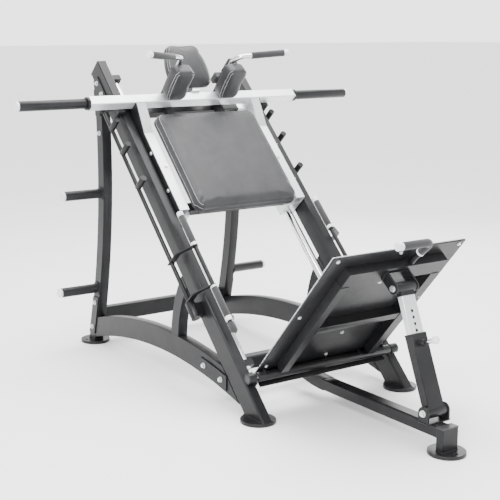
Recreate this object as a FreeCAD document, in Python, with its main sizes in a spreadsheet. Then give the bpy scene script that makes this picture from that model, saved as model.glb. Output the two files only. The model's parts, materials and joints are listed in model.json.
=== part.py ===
import FreeCAD, Part
import math
import os

import Sketcher
from FreeCAD import Placement, Rotation, Vector

# Hack squat machine. +Z up, the user's back leans towards +Y, the foot plate is at -Y,
# origin on the floor under the middle of the machine. Lengths in mm, angles in degrees.

doc = FreeCAD.newDocument("hack_squat")
sheet = doc.addObject("Spreadsheet::Sheet", "dims")

DIMENSIONS = {
    # rails: the upper face of the guide beams starts at (rail_y, rail_z) and falls to the front
    "rail_angle": 46, "rail_y": 945, "rail_z": 1460, "rail_long": 2030,
    "beam_x": 395, "tube_wide": 50, "tube_deep": 100, "tube_wall": 3, "corner": 8,
    "rod_x": 316, "rod_n": -87, "rod_radius": 19, "rod_top": 38, "rod_end": 1722,
    "clamp_x": 288, "clamp_thick": 30, "clamp_deep": 58,
    "bumper_wall": 15, "bumper_long": 45, "bumper_u": 1500,
    # base
    "foot_radius": 75, "foot_thick": 14, "foot_x": 398, "base_half": 1062.5,
    "front_foot_y": -385, "anchor_offset": 50, "anchor_radius": 6.5,
    "arch_radius": 2400, "arch_y": 345, "arch_z": 182, "splice_y": -85,
    "upright_radius": 3250, "upright_y": 4181, "upright_z": 920, "upright_deep": 60,
    "brace_radius": 520, "brace_y": -286, "brace_z": 212, "brace_deep": 60,
    "plate_thick": 6, "rear_tube_z": 148, "rear_tube_tall": 80,
    "base_tube_y": -70, "base_tube_z": 148, "base_tube_tall": 60,
    "centre_wide": 60, "centre_tall": 50, "centre_z": 82, "rise_y": -360, "rise_radius": 570,
    "post_wide": 82, "post_deep": 38, "post_top": 108, "post_cap": 5,
    # weight pegs and horns
    "peg_radius": 24, "peg_length": 205, "peg_low": 300, "peg_high": 800, "peg_cap": 12,
    "peg_flange": 6, "horn_end": 972, "horn_cap": 12, "horn_wall": 4,
    "collar_radius": 31, "collar_thick": 14,
    # sled, in rail coordinates: n above the beams, u down the rails
    "bar_size": 50, "bar_half": 602, "bar_n": 48, "bar_u": 310,
    "member_x": 337, "member_kink": 488, "member_end": 945,
    "cheek_thick": 6, "cheek_low": -110, "cheek_margin": 30,
    "housing_x": 286, "housing_long": 80, "housing_top": 265, "housing_low": 865,
    "running_gap": 0.05,
    "pad_half": 296, "pad_top": 401, "pad_bottom": 977, "pad_under": 22.4, "pad_face": 80,
    "pad_corner": 45, "board_thick": 12, "runner_x": 150,
    "catch_u": 295, "catch_long": 55, "catch_low": -28, "catch_bend": 3,
    # head rest and shoulder pads
    "head_n": 156, "head_u": 26, "head_tilt": 14.46, "head_long": 236, "head_thick": 54,
    "head_top_wide": 204, "head_low_wide": 240, "head_bulge": 12, "head_corner": 38,
    "shoulder_x": 155, "shoulder_wide": 114, "shoulder_long": 184, "shoulder_thick": 71,
    "shoulder_n": 84, "shoulder_u": 356, "shoulder_lean": 8.3, "shoulder_corner": 30,
    "spine_wide": 56, "spine_long": 160, "spine_thick": 26,
    "handle_radius": 12.5, "grip_radius": 16.5, "handle_bend": 50, "grip_long": 168,
    "handle_cap": 22, "lift_cap": 24,
    # stop levers
    "shaft_x": 460, "shaft_n": -70, "shaft_radius": 10, "shaft_top": 225, "shaft_end": 1440,
    "stop_radius": 15, "stop_tip": 6, "stop_first": 379, "stop_second": 529, "stop_third": 734,
    "lever_x": 390, "lever_n": 50, "lever_radius": 10, "lever_top": 984, "lever_end": 1600,
    "arm_thick": 5, "arm_upper": 1158, "arm_lower": 1366, "lever_grip": 15,
    # foot plate, in plate coordinates: m out of the standing face, s up the plate
    "plate_angle": 49.5, "plate_y": -283.5, "plate_z": 162, "plate_half": 350, "plate_long": 786,
    "tread_thick": 3, "tray_thick": 6, "lip_deep": 62, "lip_thick": 5, "frame_tube": 40,
    "stringer_x": 242, "stringer_foot": 62, "middle_tube": 330, "upper_tube": 640,
    "upper_tall": 80, "hinge_s": 38.3, "hinge_m": -31.7, "hinge_radius": 21, "hinge_half": 370,
    "axle_radius": 15, "lug_x": 376, "lug_long": 40, "lug_radius": 22, "axle_half": 404,
    "clevis_s": 677, "clevis_m": -113.5, "ear_x": 51, "ear_thick": 8, "ear_radius": 24,
    "lift_x": 66, "lift_end": -90, "lift_m": -34, "lift_crook": -52, "lift_top": 868,
    # strut
    "base_pin_y": -991, "base_pin_z": 148, "base_ear": 27,
    "outer_wide": 82, "outer_deep": 40, "outer_wall": 4, "outer_start": 10, "outer_long": 300,
    "drum_half": 49.5, "drum_radius": 24, "head_drum": 22,
    "inner_wide": 70, "inner_deep": 28, "inner_start": 110, "inner_end": 455,
    "hole_pitch": 26, "hole_first": 263, "hole_radius": 6.5, "pin_radius": 5, "pivot_radius": 8,
    "bush_long": 30, "rim_thick": 4, "clevis_bolt": 6, "knob_radius": 16, "knob_neck": 8,
}

for row, (alias, value) in enumerate(DIMENSIONS.items(), start=1):
    sheet.set(f"A{row}", alias)
    sheet.set(f"B{row}", str(value))
    sheet.setAlias(f"B{row}", alias)
doc.recompute()


def dim(alias):
    """Read one driving dimension back from the sheet."""
    return float(sheet.get(alias))


SIDES = {"left": -1, "right": 1}
X_AXIS = Vector(1, 0, 0)
WORLD = Placement()
# rail frame: local x is X, local y rises n out of the rails, local z runs u down the rails
RAIL = Placement(Vector(0, dim("rail_y"), dim("rail_z")), Rotation(X_AXIS, 90 + dim("rail_angle")))
# plate frame: local x is X, local y is m out of the standing face, local z runs s up the plate
PLATE = Placement(Vector(0, dim("plate_y"), dim("plate_z")), Rotation(X_AXIS, 90 - dim("plate_angle")))
CLEVIS_POINT = PLATE.multVec(Vector(0, dim("clevis_m"), dim("clevis_s")))
STRUT_BASE = Vector(0, dim("base_pin_y"), dim("base_pin_z"))
STRUT_LINE = CLEVIS_POINT - STRUT_BASE
STRUT_LEAN = math.degrees(math.atan2(STRUT_LINE.y, STRUT_LINE.z))
# strut frame: local z runs up the strut from its base pin, local -y is its front face
STRUT = Placement(STRUT_BASE, Rotation(X_AXIS, -STRUT_LEAN))
WASHER = 2
NODES = []


def bind(thing, **expressions):
    """Bind properties of a document object to the sheet; words are looked up as aliases."""
    for name, expression in expressions.items():
        text = str(expression)
        for alias in sorted(DIMENSIONS, key=len, reverse=True):
            text = text.replace("$" + alias, "dims." + alias)
        thing.setExpression(name, text)
    return thing


def place(thing, x="0", y="0", z="0"):
    """Bind the position of a primitive inside its node's frame."""
    for axis, expression in zip("xyz", (x, y, z)):
        bind(thing, **{"Placement.Base." + axis: expression})
    return thing


def block(x, y, z, wide, deep, tall):
    """A box from its low corner, every entry an expression."""
    box = bind(doc.addObject("Part::Box", "Block"), Length=wide, Width=deep, Height=tall)
    return place(box, x, y, z)


def centred(x, y, z, wide, deep, tall):
    """A box centred on x and y, and starting at z."""
    return block(f"{x} - ({wide}) / 2", f"{y} - ({deep}) / 2", z, wide, deep, tall)


def round_bar(radius, length, x="0", y="0", z="0", along="z"):
    """A cylinder along one local axis, starting at x, y, z."""
    bar = bind(doc.addObject("Part::Cylinder", "Round"), Radius=radius, Height=length)
    turn = {"x": Rotation(Vector(0, 1, 0), 90), "y": Rotation(X_AXIS, -90), "z": Rotation()}[along]
    bar.Placement = Placement(Vector(), turn)
    return place(bar, x, y, z)


def cut(base, tool):
    """Base without tool."""
    result = doc.addObject("Part::Cut", "Cut")
    result.Base = base
    result.Tool = tool
    return result


def fuse(shapes):
    """One solid from touching ones."""
    result = doc.addObject("Part::MultiFuse", "Fusion")
    result.Shapes = shapes
    result.Refine = True
    return result


def common(base, tool):
    """The part of base inside tool."""
    result = doc.addObject("Part::Common", "Common")
    result.Base = base
    result.Tool = tool
    return result


def placed(shape, frame):
    """Wrap one shape so that it can carry a frame of its own."""
    group = doc.addObject("Part::Compound", "Placed")
    group.Links = [shape]
    group.Placement = frame
    return group


def node(name, shapes, frame=WORLD):
    """A sub-part of the machine: one or more separate solids under one label."""
    part = doc.addObject("Part::Compound", name)
    part.Label = name
    part.Links = shapes
    part.Placement = frame
    NODES.append(part)
    return part


def origin_plane(body, role):
    """The origin plane of a body with this role."""
    return [plane for plane in body.Origin.OriginFeatures if plane.Role == role][0]


def rectangle_sketch(body, name, wide, deep, x, y):
    """A rectangle on the body's XY plane, centred on x, y, with every size bound to the sheet."""
    sketch = body.newObject("Sketcher::SketchObject", name)
    sketch.AttachmentSupport = [(origin_plane(body, "XY_Plane"), "")]
    sketch.MapMode = "FlatFace"
    corners = [Vector(-1, -1, 0), Vector(1, -1, 0), Vector(1, 1, 0), Vector(-1, 1, 0)]
    for index in range(4):
        sketch.addGeometry(Part.LineSegment(corners[index], corners[(index + 1) % 4]))
    for index in range(4):
        sketch.addConstraint(Sketcher.Constraint("Coincident", index, 2, (index + 1) % 4, 1))
    for index in (0, 2):
        sketch.addConstraint(Sketcher.Constraint("Horizontal", index))
    for index in (1, 3):
        sketch.addConstraint(Sketcher.Constraint("Vertical", index))
    limits = {"low_x": ("DistanceX", 0, 1, f"{x} - ({wide}) / 2"),
              "high_x": ("DistanceX", 2, 1, f"{x} + ({wide}) / 2"),
              "low_y": ("DistanceY", 0, 1, f"{y} - ({deep}) / 2"),
              "high_y": ("DistanceY", 2, 1, f"{y} + ({deep}) / 2")}
    for label, (kind, line, point, expression) in limits.items():
        start = {"low": -1, "high": 1}[label.split("_")[0]]
        number = sketch.addConstraint(Sketcher.Constraint(kind, -1, 1, line, point, start))
        sketch.renameConstraint(number, label)
        bind(sketch, **{"Constraints." + label: expression})
    return sketch


def rect_tube(x, y, z, wide, deep, length, wall="$tube_wall", corner="$corner"):
    """A rolled rectangular tube along local z: padded, rounded on its long edges, bored through."""
    body = doc.addObject("PartDesign::Body", "Tube")
    profile = rectangle_sketch(body, "Profile", wide, deep, x, y)
    pad = body.newObject("PartDesign::Pad", "Pad")
    pad.Profile = profile
    bind(pad, Length=length)
    doc.recompute()
    long_edges = []
    for number, edge in enumerate(pad.Shape.Edges, start=1):
        direction = edge.tangentAt(edge.FirstParameter)
        if abs(direction.z) > 0.99:
            long_edges.append(f"Edge{number}")
    fillet = body.newObject("PartDesign::Fillet", "Fillet")
    fillet.Base = (pad, long_edges)
    bind(fillet, Radius=corner)
    bore = rectangle_sketch(body, "Bore", f"({wide}) - 2 * {wall}", f"({deep}) - 2 * {wall}", x, y)
    pocket = body.newObject("PartDesign::Pocket", "Pocket")
    pocket.Profile = bore
    pocket.Reversed = True
    bind(pocket, Length=length)
    body.Tip = pocket
    return place(body, "0", "0", z)


def tube_along(start, turn, wide, deep, length, wall="$tube_wall", corner="$corner"):
    """A rectangular tube whose centre line starts anywhere and points anywhere."""
    tube = rect_tube("0", "0", "0", wide, deep, length, wall, corner)
    return placed(tube, Placement(start, turn))


def ring(centre_y, centre_z, radius, deep, x, wide, clip):
    """A bent rectangular bar: a slice of a ring about X, kept where it is inside the clip box."""
    outer = round_bar(f"{radius} + ({deep}) / 2", wide, f"{x} - ({wide}) / 2", centre_y, centre_z, "x")
    inner = round_bar(f"{radius} - ({deep}) / 2", wide, f"{x} - ({wide}) / 2", centre_y, centre_z, "x")
    low, high = clip
    window = block(f"{x} - ({wide}) / 2", low[0], low[1], wide, f"({high[0]}) - ({low[0]})",
                   f"({high[1]}) - ({low[1]})")
    return common(cut(outer, inner), window)


def bent_tube(centre_y, centre_z, radius, deep, x, clip, tool=None, wide="$tube_wide"):
    """A hollow bent tube, trimmed where it meets its neighbours."""
    skin = ring(centre_y, centre_z, radius, deep, x, wide, clip)
    core = ring(centre_y, centre_z, radius, f"({deep}) - 2 * $tube_wall", x,
                f"({wide}) - 2 * $tube_wall", clip)
    tube = cut(skin, core)
    return cut(tube, tool) if tool else tube


def prism(points, thick, x):
    """A flat plate outline in local y and z, given as pairs, extruded along x from the value x."""
    wire = Part.makePolygon([Vector(x, a, b) for a, b in points + points[:1]])
    plate = doc.addObject("Part::Feature", "Outline")
    plate.Shape = Part.Face(wire).extrude(Vector(thick, 0, 0))
    return plate


def bent_rod(points, radius, bend):
    """A round bar along straight runs joined by tangent arcs of one bend radius."""
    edges = []
    here = points[0]
    for corner, after in zip(points[1:-1], points[2:]):
        into = (corner - here).normalize()
        out = (after - corner).normalize()
        turn = into.getAngle(out)
        reach = bend * math.tan(turn / 2)
        first = corner - into * reach
        last = corner + out * reach
        middle = corner + (out - into).normalize() * bend * (1 / math.cos(turn / 2) - 1)
        edges += [Part.LineSegment(here, first).toShape(), Part.Arc(first, middle, last).toShape()]
        here = last
    edges.append(Part.LineSegment(here, points[-1]).toShape())
    path = Part.Wire(edges)
    ends = Part.Wire(Part.makeCircle(radius, points[0], points[1] - points[0]))
    rod = doc.addObject("Part::Feature", "BentRod")
    rod.Shape = path.makePipeShell([ends], True, True)
    return rod


def sleeve_between(start, end, outer, inner=None):
    """A round sleeve from one point to another; radii are expressions."""
    length = (end - start).Length
    turn = Rotation(Vector(0, 0, 1), end - start)
    tube = round_bar(outer, str(length))
    if inner:
        tube = cut(tube, round_bar(inner, str(length)))
    return placed(tube, Placement(start, turn))


def hex_bolt(x, y, z, across, head, along, side=1):
    """A hexagon head on a washer, standing out from its seat along one local axis."""
    turn = {"x": Rotation(Vector(0, 1, 0), 90 * side), "y": Rotation(X_AXIS, -90 * side),
            "z": Rotation(X_AXIS, 0 if side > 0 else 180)}[along]
    washer = doc.addObject("Part::Cylinder", "Washer")
    bind(washer, Radius=across * 0.72, Height=WASHER)
    hexagon = doc.addObject("Part::Prism", "Head")
    hexagon.Polygon = 6
    bind(hexagon, Circumradius=across / math.sqrt(3), Height=head)
    hexagon.Placement = Placement(Vector(0, 0, WASHER), Rotation())
    return placed(fuse([washer, hexagon]), Placement(Vector(x, y, z), turn))


def screw(radius, head, seat):
    """A round-headed screw on its washer, standing on its seat."""
    washer = round_bar(f"{radius} + 3", WASHER)
    return placed(fuse([washer, round_bar(radius, f"{WASHER} + {head}")]), seat)


# ---------------------------------------------------------------- frame
above_rails = placed(block("-600", "-$tube_deep", "-200", "1200", "400", "2600"), RAIL)
floor_cut = block("-600", "-1300", "-400", "1200", "2600", "400 + $foot_thick")

for side, s in SIDES.items():
    beam = placed(rect_tube(f"{s} * $beam_x", "-$tube_deep / 2", "0", "$tube_wide", "$tube_deep",
                            "$rail_long"), RAIL)
    node(f"guide_beam_{side}", [cut(beam, floor_cut)])

UPRIGHT_CLIP = (("850", "$foot_thick"), ("1150", "1400"))
ARCH_CLIP = (("$splice_y", "$foot_thick"), ("1100", "400"))
STUB_CLIP = (("-400", "$foot_thick"), ("$splice_y", "400"))
BRACE_CLIP = (("0", "200"), ("400", "620"))


def upright_front():
    """The solid behind the upright's front face, used to trim what butts against it."""
    return round_bar("$upright_radius + $upright_deep / 2", "1200", "-600", "$upright_y", "$upright_z", "x")


def arch_top():
    """The solid under the arch's upper face."""
    return round_bar("$arch_radius + $tube_deep / 2", "1200", "-600", "$arch_y",
                     "$arch_z - $arch_radius", "x")


uprights = []
arches = []
braces = []
for s in SIDES.values():
    uprights.append(bent_tube("$upright_y", "$upright_z", "$upright_radius", "$upright_deep",
                              f"{s} * $beam_x", UPRIGHT_CLIP, above_rails))
    arches.append(bent_tube("$arch_y", "$arch_z - $arch_radius", "$arch_radius", "$tube_deep",
                            f"{s} * $beam_x", ARCH_CLIP, upright_front()))
    arches.append(bent_tube("$arch_y", "$arch_z - $arch_radius", "$arch_radius", "$tube_deep",
                            f"{s} * $beam_x", STUB_CLIP, above_rails))
    trimmed = bent_tube("$brace_y", "$brace_z", "$brace_radius", "$brace_deep", f"{s} * $beam_x",
                        BRACE_CLIP, arch_top())
    braces.append(cut(trimmed, above_rails))
node("uprights", uprights)
node("base_arches", arches)
node("braces", braces)


def upright_centre(z):
    """How far back the upright's centre line is at height z."""
    drop = z - dim("upright_z")
    return dim("upright_y") - math.sqrt(dim("upright_radius") ** 2 - drop ** 2)


inside = dim("beam_x") - dim("tube_wide") / 2
outside = dim("beam_x") + dim("tube_wide") / 2
across_x = Rotation(Vector(0, 1, 0), 90)
rear_y = upright_centre(dim("rear_tube_z"))
rear_tube = tube_along(Vector(-inside, rear_y, dim("rear_tube_z")), across_x, "$rear_tube_tall",
                       "$tube_wide", str(2 * inside))
base_half_long = inside - dim("plate_thick")
base_tube = tube_along(Vector(-base_half_long, dim("base_tube_y"), dim("base_tube_z")), across_x,
                       "$base_tube_tall", "$tube_wide", str(2 * base_half_long))
node("cross_tubes", [rear_tube, base_tube])

# the centre rail runs level from the front post, then rises behind the foot plate
rail_start = Vector(0, dim("rise_y"), dim("centre_z"))
rail_length = dim("rise_y") + dim("base_half") - dim("post_deep") / 2
level_rail = tube_along(rail_start, Rotation(X_AXIS, 90), "$centre_wide", "$centre_tall", str(rail_length))
RISE_CLIP = (("$rise_y", "0"), ("$base_tube_y - $tube_wide / 2", "300"))
rising_rail = bent_tube("$rise_y", "$centre_z + $rise_radius", "$rise_radius", "$centre_tall", "0",
                        RISE_CLIP, wide="$centre_wide")
node("centre_rail", [level_rail, rising_rail])
node("front_post", [rect_tube("0", "-$base_half", "$foot_thick", "$post_wide", "$post_deep",
                              "$post_top - $post_cap - $foot_thick", "$tube_wall", "$corner / 2")])

FEET = [("-$foot_x", "$base_half", "-$foot_x - $anchor_offset", "$base_half"),
        ("$foot_x", "$base_half", "$foot_x + $anchor_offset", "$base_half"),
        ("-$foot_x", "$front_foot_y", "-$foot_x - $anchor_offset", "$front_foot_y"),
        ("$foot_x", "$front_foot_y", "$foot_x + $anchor_offset", "$front_foot_y"),
        ("0", "-$base_half", "0", "-$base_half - $anchor_offset")]
discs = []
for x, y, hole_x, hole_y in FEET:
    disc = round_bar("$foot_radius", "$foot_thick", x, y)
    discs.append(cut(disc, round_bar("$anchor_radius", "$foot_thick", hole_x, hole_y)))
node("foot_discs", discs)

peg_tubes = []
peg_caps = []
plugs = [centred("0", "-$base_half", "$post_top - $post_cap", "$post_wide", "$post_deep", "$post_cap")]
for s in SIDES.values():
    for level in ("peg_low", "peg_high"):
        y = str(upright_centre(dim(level)))
        z = f"${level}"
        peg_low = outside if s > 0 else -outside - dim("peg_length")
        flange_low = outside if s > 0 else -outside - dim("peg_flange")
        cap_low = outside + dim("peg_length") if s > 0 else peg_low - dim("peg_cap")
        flange = round_bar("$peg_radius + 8", "$peg_flange", str(flange_low), y, z, "x")
        peg = fuse([round_bar("$peg_radius", "$peg_length", str(peg_low), y, z, "x"), flange])
        peg_tubes.append(cut(peg, round_bar("$peg_radius - $tube_wall", "$peg_length", str(peg_low), y,
                                            z, "x")))
        peg_caps.append(round_bar("$peg_radius - 0.5", "$peg_cap", str(cap_low), y, z, "x"))
    plugs.append(placed(centred(f"{s} * $beam_x", "-$tube_deep / 2", "-4", "$tube_wide - 1",
                                "$tube_deep - 1", "4"), RAIL))
node("storage_pegs", peg_tubes)
node("peg_caps", peg_caps)

joint_plates = []
for s in SIDES.values():
    for face, front in ((outside + 3, "-190"), (inside - 3, "-148")):
        joint_plates.append(ring("$arch_y", "$arch_z - $arch_radius", "$arch_radius - 8", "64",
                                 str(s * face), "$plate_thick", ((front, "0"), ("10", "300"))))
    outer_x = str(s * (outside + 3))
    joint_plates.append(ring("$upright_y", "$upright_z", "$upright_radius", "54", outer_x,
                             "$plate_thick", (("900", "50"), ("1150", "250"))))
    web = placed(centred(outer_x, "-74", "55", "$plate_thick", "48", "120"), RAIL)
    joint_plates.append(fuse([web, ring("$upright_y", "$upright_z", "$upright_radius", "50", outer_x,
                                        "$plate_thick", (("850", "1190"), ("1000", "1318")))]))
node("joint_plates", joint_plates)

rods = []
brackets = []
bumpers = []
for s in SIDES.values():
    rod_x = f"{s} * $rod_x"
    rods.append(round_bar("$rod_radius", "$rod_end - $rod_top", rod_x, "$rod_n", "$rod_top"))
    clamp_low = "$clamp_x" if s > 0 else str(-inside)
    for u in ("$rod_top + 2", "$rod_end - $clamp_thick - 2"):
        clamp = block(clamp_low, "$rod_n - $clamp_deep / 2", u, f"{inside} - $clamp_x", "$clamp_deep",
                      "$clamp_thick")
        brackets.append(cut(clamp, round_bar("$rod_radius", "$clamp_thick", rod_x, "$rod_n", u)))
    rubber = round_bar("$rod_radius + $bumper_wall", "$bumper_long", rod_x, "$rod_n", "$bumper_u")
    bumpers.append(cut(rubber, round_bar("$rod_radius", "$bumper_long", rod_x, "$rod_n", "$bumper_u")))
node("guide_rods", rods, RAIL)
node("rod_brackets", brackets, RAIL)
node("bumpers", bumpers, RAIL)

bearings = []
for s in SIDES.values():
    for start, length, depth in ((215, 47, 47), (1375, 77, 67)):
        bored = "$shaft_radius + $running_gap"
        boss = round_bar("22", str(length), f"{s} * $shaft_x", "$shaft_n", str(start))
        foot_low = outside if s > 0 else -dim("shaft_x") + 10
        foot = block(str(foot_low), "$shaft_n - 16", str(start + 8), str(dim("shaft_x") - 10 - outside),
                     "32", str(length - 16))
        bearings.append(cut(fuse([boss, foot]), round_bar(bored, str(depth), f"{s} * $shaft_x",
                                                          "$shaft_n", str(start))))
node("shaft_bearings", bearings, RAIL)

hinge_point = PLATE.multVec(Vector(0, dim("hinge_m"), dim("hinge_s")))
hinge_rail = RAIL.inverse().multVec(hinge_point)
lugs = []
lug_n = str(hinge_rail.y)
lug_u = str(hinge_rail.z)
for s in SIDES.values():
    web_low = "$lug_x" if s > 0 else "-$lug_x - $ear_thick"
    boss_low = "$lug_x" if s > 0 else "-$lug_x - $lug_long"
    web = block(web_low, "0", f"{lug_u} - 30", "$ear_thick", lug_n, "60")
    boss = round_bar("$lug_radius", "$lug_long", boss_low, lug_n, lug_u, "x")
    bored = round_bar("$axle_radius", "$lug_long", boss_low, lug_n, lug_u, "x")
    lugs.append(placed(cut(fuse([web, boss]), bored), RAIL))
    plug_low = "$axle_half" if s > 0 else "-$lug_x - $lug_long"
    plugs.append(placed(round_bar("$axle_radius", "$lug_x + $lug_long - $axle_half", plug_low, lug_n,
                                  lug_u, "x"), RAIL))
ears = []
rail_top = "$centre_z + $centre_tall / 2"
for s in SIDES.values():
    x = "$ear_x" if s > 0 else "-$ear_x - $ear_thick"
    web = block(x, "$base_pin_y - $base_ear", rail_top, "$ear_thick", "2 * $base_ear",
                f"$base_pin_z - ({rail_top})")
    ears += [web, round_bar("$base_ear", "$ear_thick", x, "$base_pin_y", "$base_pin_z", "x")]
saddle = centred("0", "$base_pin_y", rail_top, "2 * ($ear_x + $ear_thick)", "2 * $base_ear", "5")
strut_base = cut(fuse(ears + [saddle]),
                 round_bar("$pivot_radius", "200", "-100", "$base_pin_y", "$base_pin_z", "x"))
node("pivot_lugs", lugs + [strut_base])
node("end_plugs", plugs)

axles = [round_bar("$axle_radius", "2 * $axle_half", "-$axle_half", str(hinge_point.y),
                   str(hinge_point.z), "x"),
         round_bar("$pivot_radius", "2 * ($ear_x + $ear_thick)", "-$ear_x - $ear_thick", "$base_pin_y",
                   "$base_pin_z", "x")]
node("pivot_axles", axles)

frame_bolts = []
for s in SIDES.values():
    seat = s * (outside + 6)
    for y, z in ((-18, 150), (-150, 122), (upright_centre(220), 220), (upright_centre(86), 86),
                 (upright_centre(1265), 1265)):
        frame_bolts.append(hex_bolt(seat, y, z, 17, 8, "x", s))
    for n, u in ((-74, 80), (-74, 150)):
        spot = RAIL.multVec(Vector(seat, n, u))
        frame_bolts.append(hex_bolt(spot.x, spot.y, spot.z, 17, 8, "x", s))
    frame_bolts.append(hex_bolt(s * outside, upright_centre(1103), 1103, 17, 8, "x", s))
    frame_bolts.append(hex_bolt(s * (dim("ear_x") + dim("ear_thick")), dim("base_pin_y"),
                                dim("base_pin_z"), 19, 8, "x", s))
node("frame_bolts", frame_bolts)

# ---------------------------------------------------------------- sled
crossbar = tube_along(Vector(-dim("bar_half"), dim("bar_n"), dim("bar_u")), across_x, "$bar_size",
                      "$bar_size", "2 * $bar_half", "$tube_wall", "$corner / 2")
node("sled_crossbar", [crossbar], RAIL)

collars = []
horns = []
sled_caps = []
collar_end = dim("bar_half") + dim("collar_thick")
horn_tip = dim("horn_end") - dim("horn_cap")
for s in SIDES.values():
    collar_low = "$bar_half" if s > 0 else "-$bar_half - $collar_thick"
    collars.append(round_bar("$collar_radius", "$collar_thick", collar_low, "$bar_n", "$bar_u", "x"))
    horn_low = str(collar_end if s > 0 else -horn_tip)
    cap_low = str(horn_tip if s > 0 else -dim("horn_end"))
    horn_length = str(horn_tip - collar_end)
    tube = round_bar("$peg_radius", horn_length, horn_low, "$bar_n", "$bar_u", "x")
    bore = round_bar("$peg_radius - $horn_wall", horn_length, horn_low, "$bar_n", "$bar_u", "x")
    horns.append(cut(tube, bore))
    sled_caps.append(placed(round_bar("$peg_radius - 0.5", "$horn_cap", cap_low, "$bar_n", "$bar_u", "x"),
                            RAIL))
node("horn_collars", collars, RAIL)
node("weight_horns", horns, RAIL)

side_members = []
side_plates = []
housings = []
catches = []
half = dim("bar_size") / 2
bar_back = dim("bar_u") - half
bar_front = dim("bar_u") + half
bar_top = dim("bar_n") + half
kink = dim("member_kink")
tail = dim("member_end")
wall = dim("tube_wall")
MEMBER_OUTLINE = [(bar_top, bar_front), (half, kink), (half, tail), (-half, tail), (-half, kink - 8),
                  (bar_top - 52, bar_front)]
MEMBER_HOLLOW = [(bar_top - 4, bar_front), (half - wall, kink - 1), (half - wall, tail),
                 (wall - half, tail), (wall - half, kink - 7), (bar_top - 48, bar_front)]
upper_start = dim("housing_top")
upper_stop = upper_start + dim("housing_long")
lower_start = dim("housing_low")
lower_stop = lower_start + dim("housing_long")
cheek_low = dim("cheek_low")
margin = dim("cheek_margin")
CHEEK_OUTLINE = [(cheek_low, upper_start), (bar_top - 50, upper_start), (bar_top - 50, bar_front),
                 (bar_top - 1, bar_front), (half - 1, kink), (half - 1, lower_stop), (cheek_low, lower_stop),
                 (cheek_low, lower_start), (-half, lower_start - margin), (-half, upper_stop + margin),
                 (cheek_low, upper_stop)]
member_outside = dim("member_x") + half
for s in SIDES.values():
    member_low = s * dim("member_x") - half
    side_members.append(cut(prism(MEMBER_OUTLINE, 2 * half, member_low),
                            prism(MEMBER_HOLLOW, 2 * (half - wall), member_low + wall)))
    cheek_side = member_outside if s > 0 else -member_outside - dim("cheek_thick")
    side_plates.append(prism(CHEEK_OUTLINE, dim("cheek_thick"), cheek_side))

    housing_side = "$housing_x" if s > 0 else str(-member_outside)
    for u, high in (("$housing_top", "-30"), ("$housing_low", "-$bar_size / 2")):
        shell = block(housing_side, "-117", u, f"{member_outside} - $housing_x", f"{high} + 117",
                      "$housing_long")
        bored = round_bar("$rod_radius + $running_gap", "$housing_long", f"{s} * $rod_x", "$rod_n", u)
        housings.append(cut(shell, bored))

    catches.append(block("408" if s > 0 else "-444", "$catch_bend", "$catch_u", "36",
                         "$bar_n - $bar_size / 2 - $catch_bend", "$catch_long"))
    catches.append(block("424" if s > 0 else "-444", "$catch_low", "$catch_u", "20",
                         "$catch_bend - ($catch_low)", "$catch_long"))
node("side_members", side_members, RAIL)
node("side_plates", side_plates, RAIL)
node("bearing_housings", housings, RAIL)
node("stop_catches", catches, RAIL)

pad_frame = []
for u in ("285", "880"):
    pad_frame.append(block("-$housing_x", "-60", u, "2 * $housing_x", "40", "45"))
for s in SIDES.values():
    pad_frame.append(block(f"{s} * $runner_x - 20", "-20", "285", "40", "30", "640"))
node("pad_frame", pad_frame, RAIL)
back_board = placed(block("-265", "10", "$pad_top + 12", "530", "$board_thick",
                          "$pad_bottom - $pad_top - 24"), RAIL)


def cushion(outline, thick, corner, along, frame):
    """A plain closed pad: an outline of edges in one plane, given a thickness and rounded corners."""
    slab = Part.Face(Part.Wire(outline)).extrude(along * thick)
    corners = [edge for edge in slab.Edges
               if abs(edge.tangentAt(edge.FirstParameter).dot(along)) > 0.99]
    pad = doc.addObject("Part::Feature", "Cushion")
    pad.Shape = slab.makeFillet(corner, corners)
    pad.Placement = frame
    return pad


def outline_of(points):
    """The straight edges round a closed list of points."""
    return [Part.LineSegment(here, after).toShape() for here, after in zip(points, points[1:] + points[:1])]


Y_AXIS = Vector(0, 1, 0)
Z_AXIS = Vector(0, 0, 1)
pad_half = dim("pad_half")
pad_long = dim("pad_bottom") - dim("pad_top")
back_frame = RAIL.multiply(Placement(Vector(0, dim("pad_under"), dim("pad_top")), Rotation()))
back_outline = outline_of([Vector(-pad_half, 0, 0), Vector(pad_half, 0, 0), Vector(pad_half, 0, pad_long),
                           Vector(-pad_half, 0, pad_long)])
node("back_pad", [cushion(back_outline, dim("pad_face") - dim("pad_under"), dim("pad_corner"), Y_AXIS,
                          back_frame)])

# the head rest leans forward of the rails, and its sides bow outwards
head_frame = RAIL.multiply(Placement(Vector(0, dim("head_n"), dim("head_u")),
                                     Rotation(X_AXIS, dim("head_tilt"))))
head_long = dim("head_long")
top_half = dim("head_top_wide") / 2
low_half = dim("head_low_wide") / 2
side_half = (top_half + low_half) / 2 + dim("head_bulge")
head_outline = [Part.LineSegment(Vector(-top_half, 0, 0), Vector(top_half, 0, 0)).toShape(),
                Part.Arc(Vector(top_half, 0, 0), Vector(side_half, 0, head_long / 2),
                         Vector(low_half, 0, head_long)).toShape(),
                Part.LineSegment(Vector(low_half, 0, head_long), Vector(-low_half, 0, head_long)).toShape(),
                Part.Arc(Vector(-low_half, 0, head_long), Vector(-side_half, 0, head_long / 2),
                         Vector(-top_half, 0, 0)).toShape()]
head_slab = Part.Face(Part.Wire(head_outline)).extrude(-Y_AXIS * dim("head_thick"))
head_corners = [edge for edge in head_slab.Edges if abs(edge.tangentAt(edge.FirstParameter).y) > 0.99]
head_pad = doc.addObject("Part::Feature", "HeadCushion")
head_pad.Shape = head_slab.makeFillet(dim("head_corner"), head_corners)
head_pad.Placement = head_frame
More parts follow.
